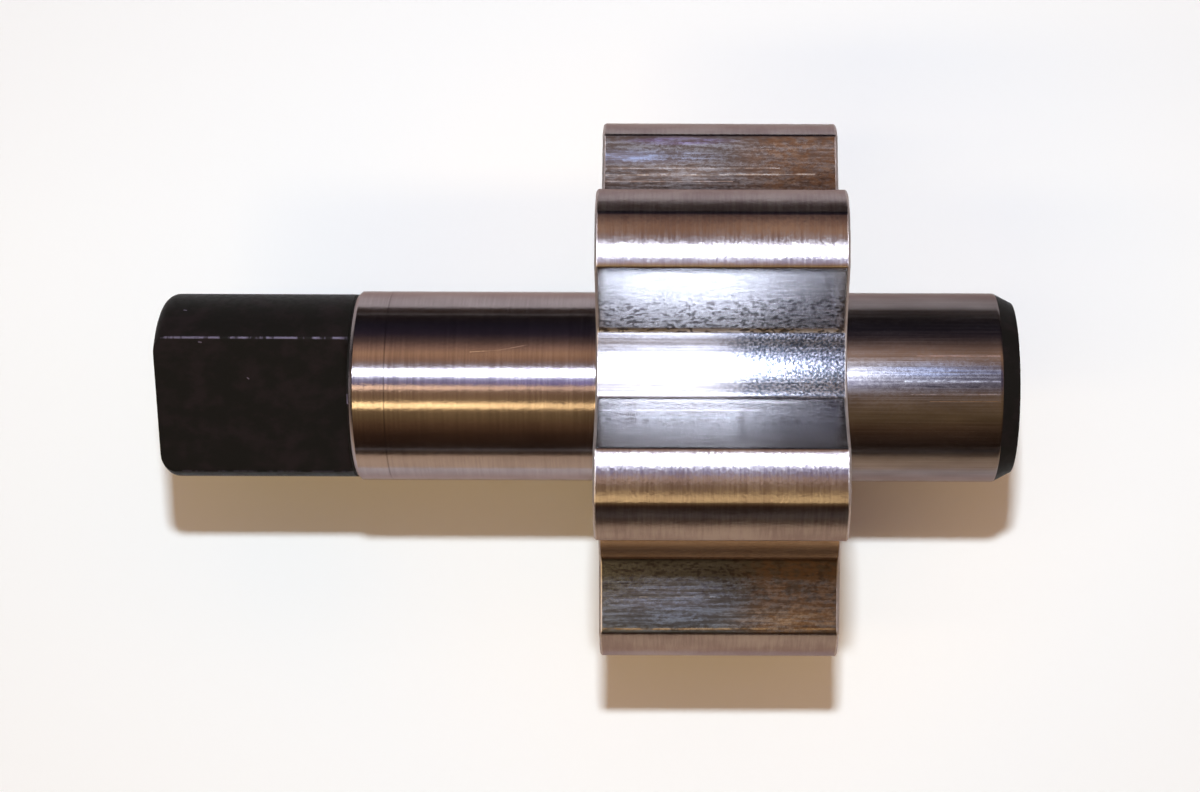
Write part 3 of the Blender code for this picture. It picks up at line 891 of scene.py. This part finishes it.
# The strips run along the shaft and end above the gear, so the cover side shows no golden band.
STRIP_DISTANCE = 1000
STRIP_LENGTH = 1040
STRIP_MIDDLE = -590


def add_strip(name, angle, width, power, colour):
    """Long warm strip above the shaft, at an angle in degrees from straight up towards the back."""
    lean = math.radians(angle)
    place = (STRIP_MIDDLE, STRIP_DISTANCE * math.sin(lean), STRIP_DISTANCE * math.cos(lean))
    add_panel(name, place, aim=(STRIP_MIDDLE, 0, 0), size=(STRIP_LENGTH, width), power=power, colour=colour)


add_strip("front_strip", angle=-30.5, width=115, power=2.3, colour="FFE0A0")
add_strip("overhead_strip", angle=-9, width=75, power=0.9, colour="FFDCB0")


# Boards.
# Matt boards lying just above the table out of the picture. Only reflections show them: the dark ones are
# painted shade, standing in for the dim table further off, and the cream one a painted reflection of the warm,
# shaded table in front of the gear. They draw the dark and cream bands beside the golden ones.
BOARD_LENGTH = 3.0
BOARD_LIFT = 1.0


def add_board(name, near_edge, far_edge, colour):
    """Board along the shaft between two distances in mm towards the back."""
    paint, _, paint_shader, _ = new_material(name + "_paint")
    paint_shader.inputs["Base Color"].default_value = linear(colour)
    paint_shader.inputs["Roughness"].default_value = 0.9
    middle = (near_edge + far_edge) / 2 * MM
    bpy.ops.mesh.primitive_plane_add(size=1, location=(0, middle, table_level + BOARD_LIFT * MM))
    board = bpy.context.object
    board.name = name
    board.scale = (BOARD_LENGTH, abs(far_edge - near_edge) * MM, 1)
    board.visible_camera = False
    board.visible_diffuse = False
    board.visible_shadow = False
    board.data.materials.append(paint)


add_board("rear_dark_board", near_edge=105, far_edge=1500, colour="40342C")
add_board("front_cream_board", near_edge=-38, far_edge=-145, colour="EEDABC")
add_board("front_dark_board", near_edge=-145, far_edge=-1500, colour="40342C")


# Room.
# Dim and brown, with a lilac grey patch overhead round the lens and a bright cream band behind it. It is
# dimmer beyond both ends of the shaft. Each tone stands at an angle in degrees from straight up towards the
# back.
ROOM_TONES = [
    (-180, "3A3028"), (-88, "34261E"), (-68, "4E3828"), (-54, "7A5C40"), (-44, "967C54"), (-14, "AC8A66"),
    (-4, "847E98"), (12, "847A92"), (19, "A07E64"), (27, "D8A880"), (33, "F4C498"), (40, "C8A088"),
    (48, "7C665C"), (58, "3E3642"), (72, "2C2A34"), (88, "261E18"), (180, "3A3028"),
]
HALF_TURN = 180
FULL_TURN = 360
world = bpy.data.worlds.new("room")
bpy.context.scene.world = world
world.use_nodes = True
room = world.node_tree
direction = add_node(room, "ShaderNodeTexCoord").outputs["Generated"]
room_split = add_node(room, "ShaderNodeSeparateXYZ", None, {0: direction})
to_back_and_up = {0: room_split.outputs["Y"], 1: room_split.outputs["Z"]}
lean = add_node(room, "ShaderNodeMath", {"operation": "ARCTAN2"}, to_back_and_up).outputs[0]
share = add_node(room, "ShaderNodeMapRange", None, {"Value": lean, "From Min": -math.pi, "From Max": math.pi})
tones = add_node(room, "ShaderNodeValToRGB", None, {"Fac": share.outputs["Result"]})
tones.color_ramp.elements[0].position = 0.0
tones.color_ramp.elements[1].position = 1.0
for angle, colour in ROOM_TONES[1:-1]:
    tones.color_ramp.elements.new((angle + HALF_TURN) / FULL_TURN)
for element, (angle, colour) in zip(tones.color_ramp.elements, ROOM_TONES):
    element.color = linear(colour)
drive_end = add_node(room, "ShaderNodeMapRange", SOFT_ENDS, {
    "Value": room_split.outputs["X"], "From Min": -0.7, "From Max": -0.2, "To Min": 0.4,
}).outputs["Result"]
cover_end = add_node(room, "ShaderNodeMapRange", SOFT_ENDS, {
    "Value": room_split.outputs["X"], "From Min": 0.8, "From Max": 0.25, "To Min": 0.85,
}).outputs["Result"]
room.links.new(tones.outputs["Color"], room.nodes["Background"].inputs["Color"])
room.links.new(overlap(room, drive_end, cover_end), room.nodes["Background"].inputs["Strength"])


# Camera.
# A compact camera held a little over 0.2 m above the shaft. It looks straight down but for a tilt of a few
# degrees. Its lens and place are given in the photograph's own pixels and in mm for each pixel at the shaft.
PHOTO_WIDTH = 1200
PHOTO_HEIGHT = 792
FOCAL_LENGTH = 2450
PRINCIPAL_COLUMN = 690
AXIS_ROW = 386.56
MM_PER_PIXEL = 0.0843
LEFT_END_COLUMN = 168.3
TILT = math.radians(6.23)
ROLL = math.radians(0.2)

view_back = Vector((0, -math.sin(TILT), math.cos(TILT)))
view_up = Vector((0, math.cos(TILT), math.sin(TILT)))
view_right = Vector((1, 0, 0))
right = view_right * math.cos(ROLL) + view_up * math.sin(ROLL)
up = view_up * math.cos(ROLL) - view_right * math.sin(ROLL)
centre_station = (PRINCIPAL_COLUMN - LEFT_END_COLUMN) * MM_PER_PIXEL
below_axis = (PHOTO_HEIGHT / 2 - AXIS_ROW) * MM_PER_PIXEL
looked_at = Vector((cad_low.x + centre_station * MM, 0, 0)) - view_up * below_axis * MM
lens = bpy.data.cameras.new("camera")
lens.sensor_width = 36.0
lens.lens = lens.sensor_width * FOCAL_LENGTH / PHOTO_WIDTH
lens.shift_x = (PHOTO_WIDTH / 2 - PRINCIPAL_COLUMN) / PHOTO_WIDTH
lens.clip_start = 0.01
lens.clip_end = 20.0
camera = bpy.data.objects.new("camera", lens)
bpy.context.scene.collection.objects.link(camera)
camera.location = looked_at + view_back * FOCAL_LENGTH * MM_PER_PIXEL * MM
camera.rotation_euler = Matrix((right, up, view_back)).transposed().to_euler()
bpy.context.scene.camera = camera
bpy.context.scene.view_settings.view_transform = "Standard"
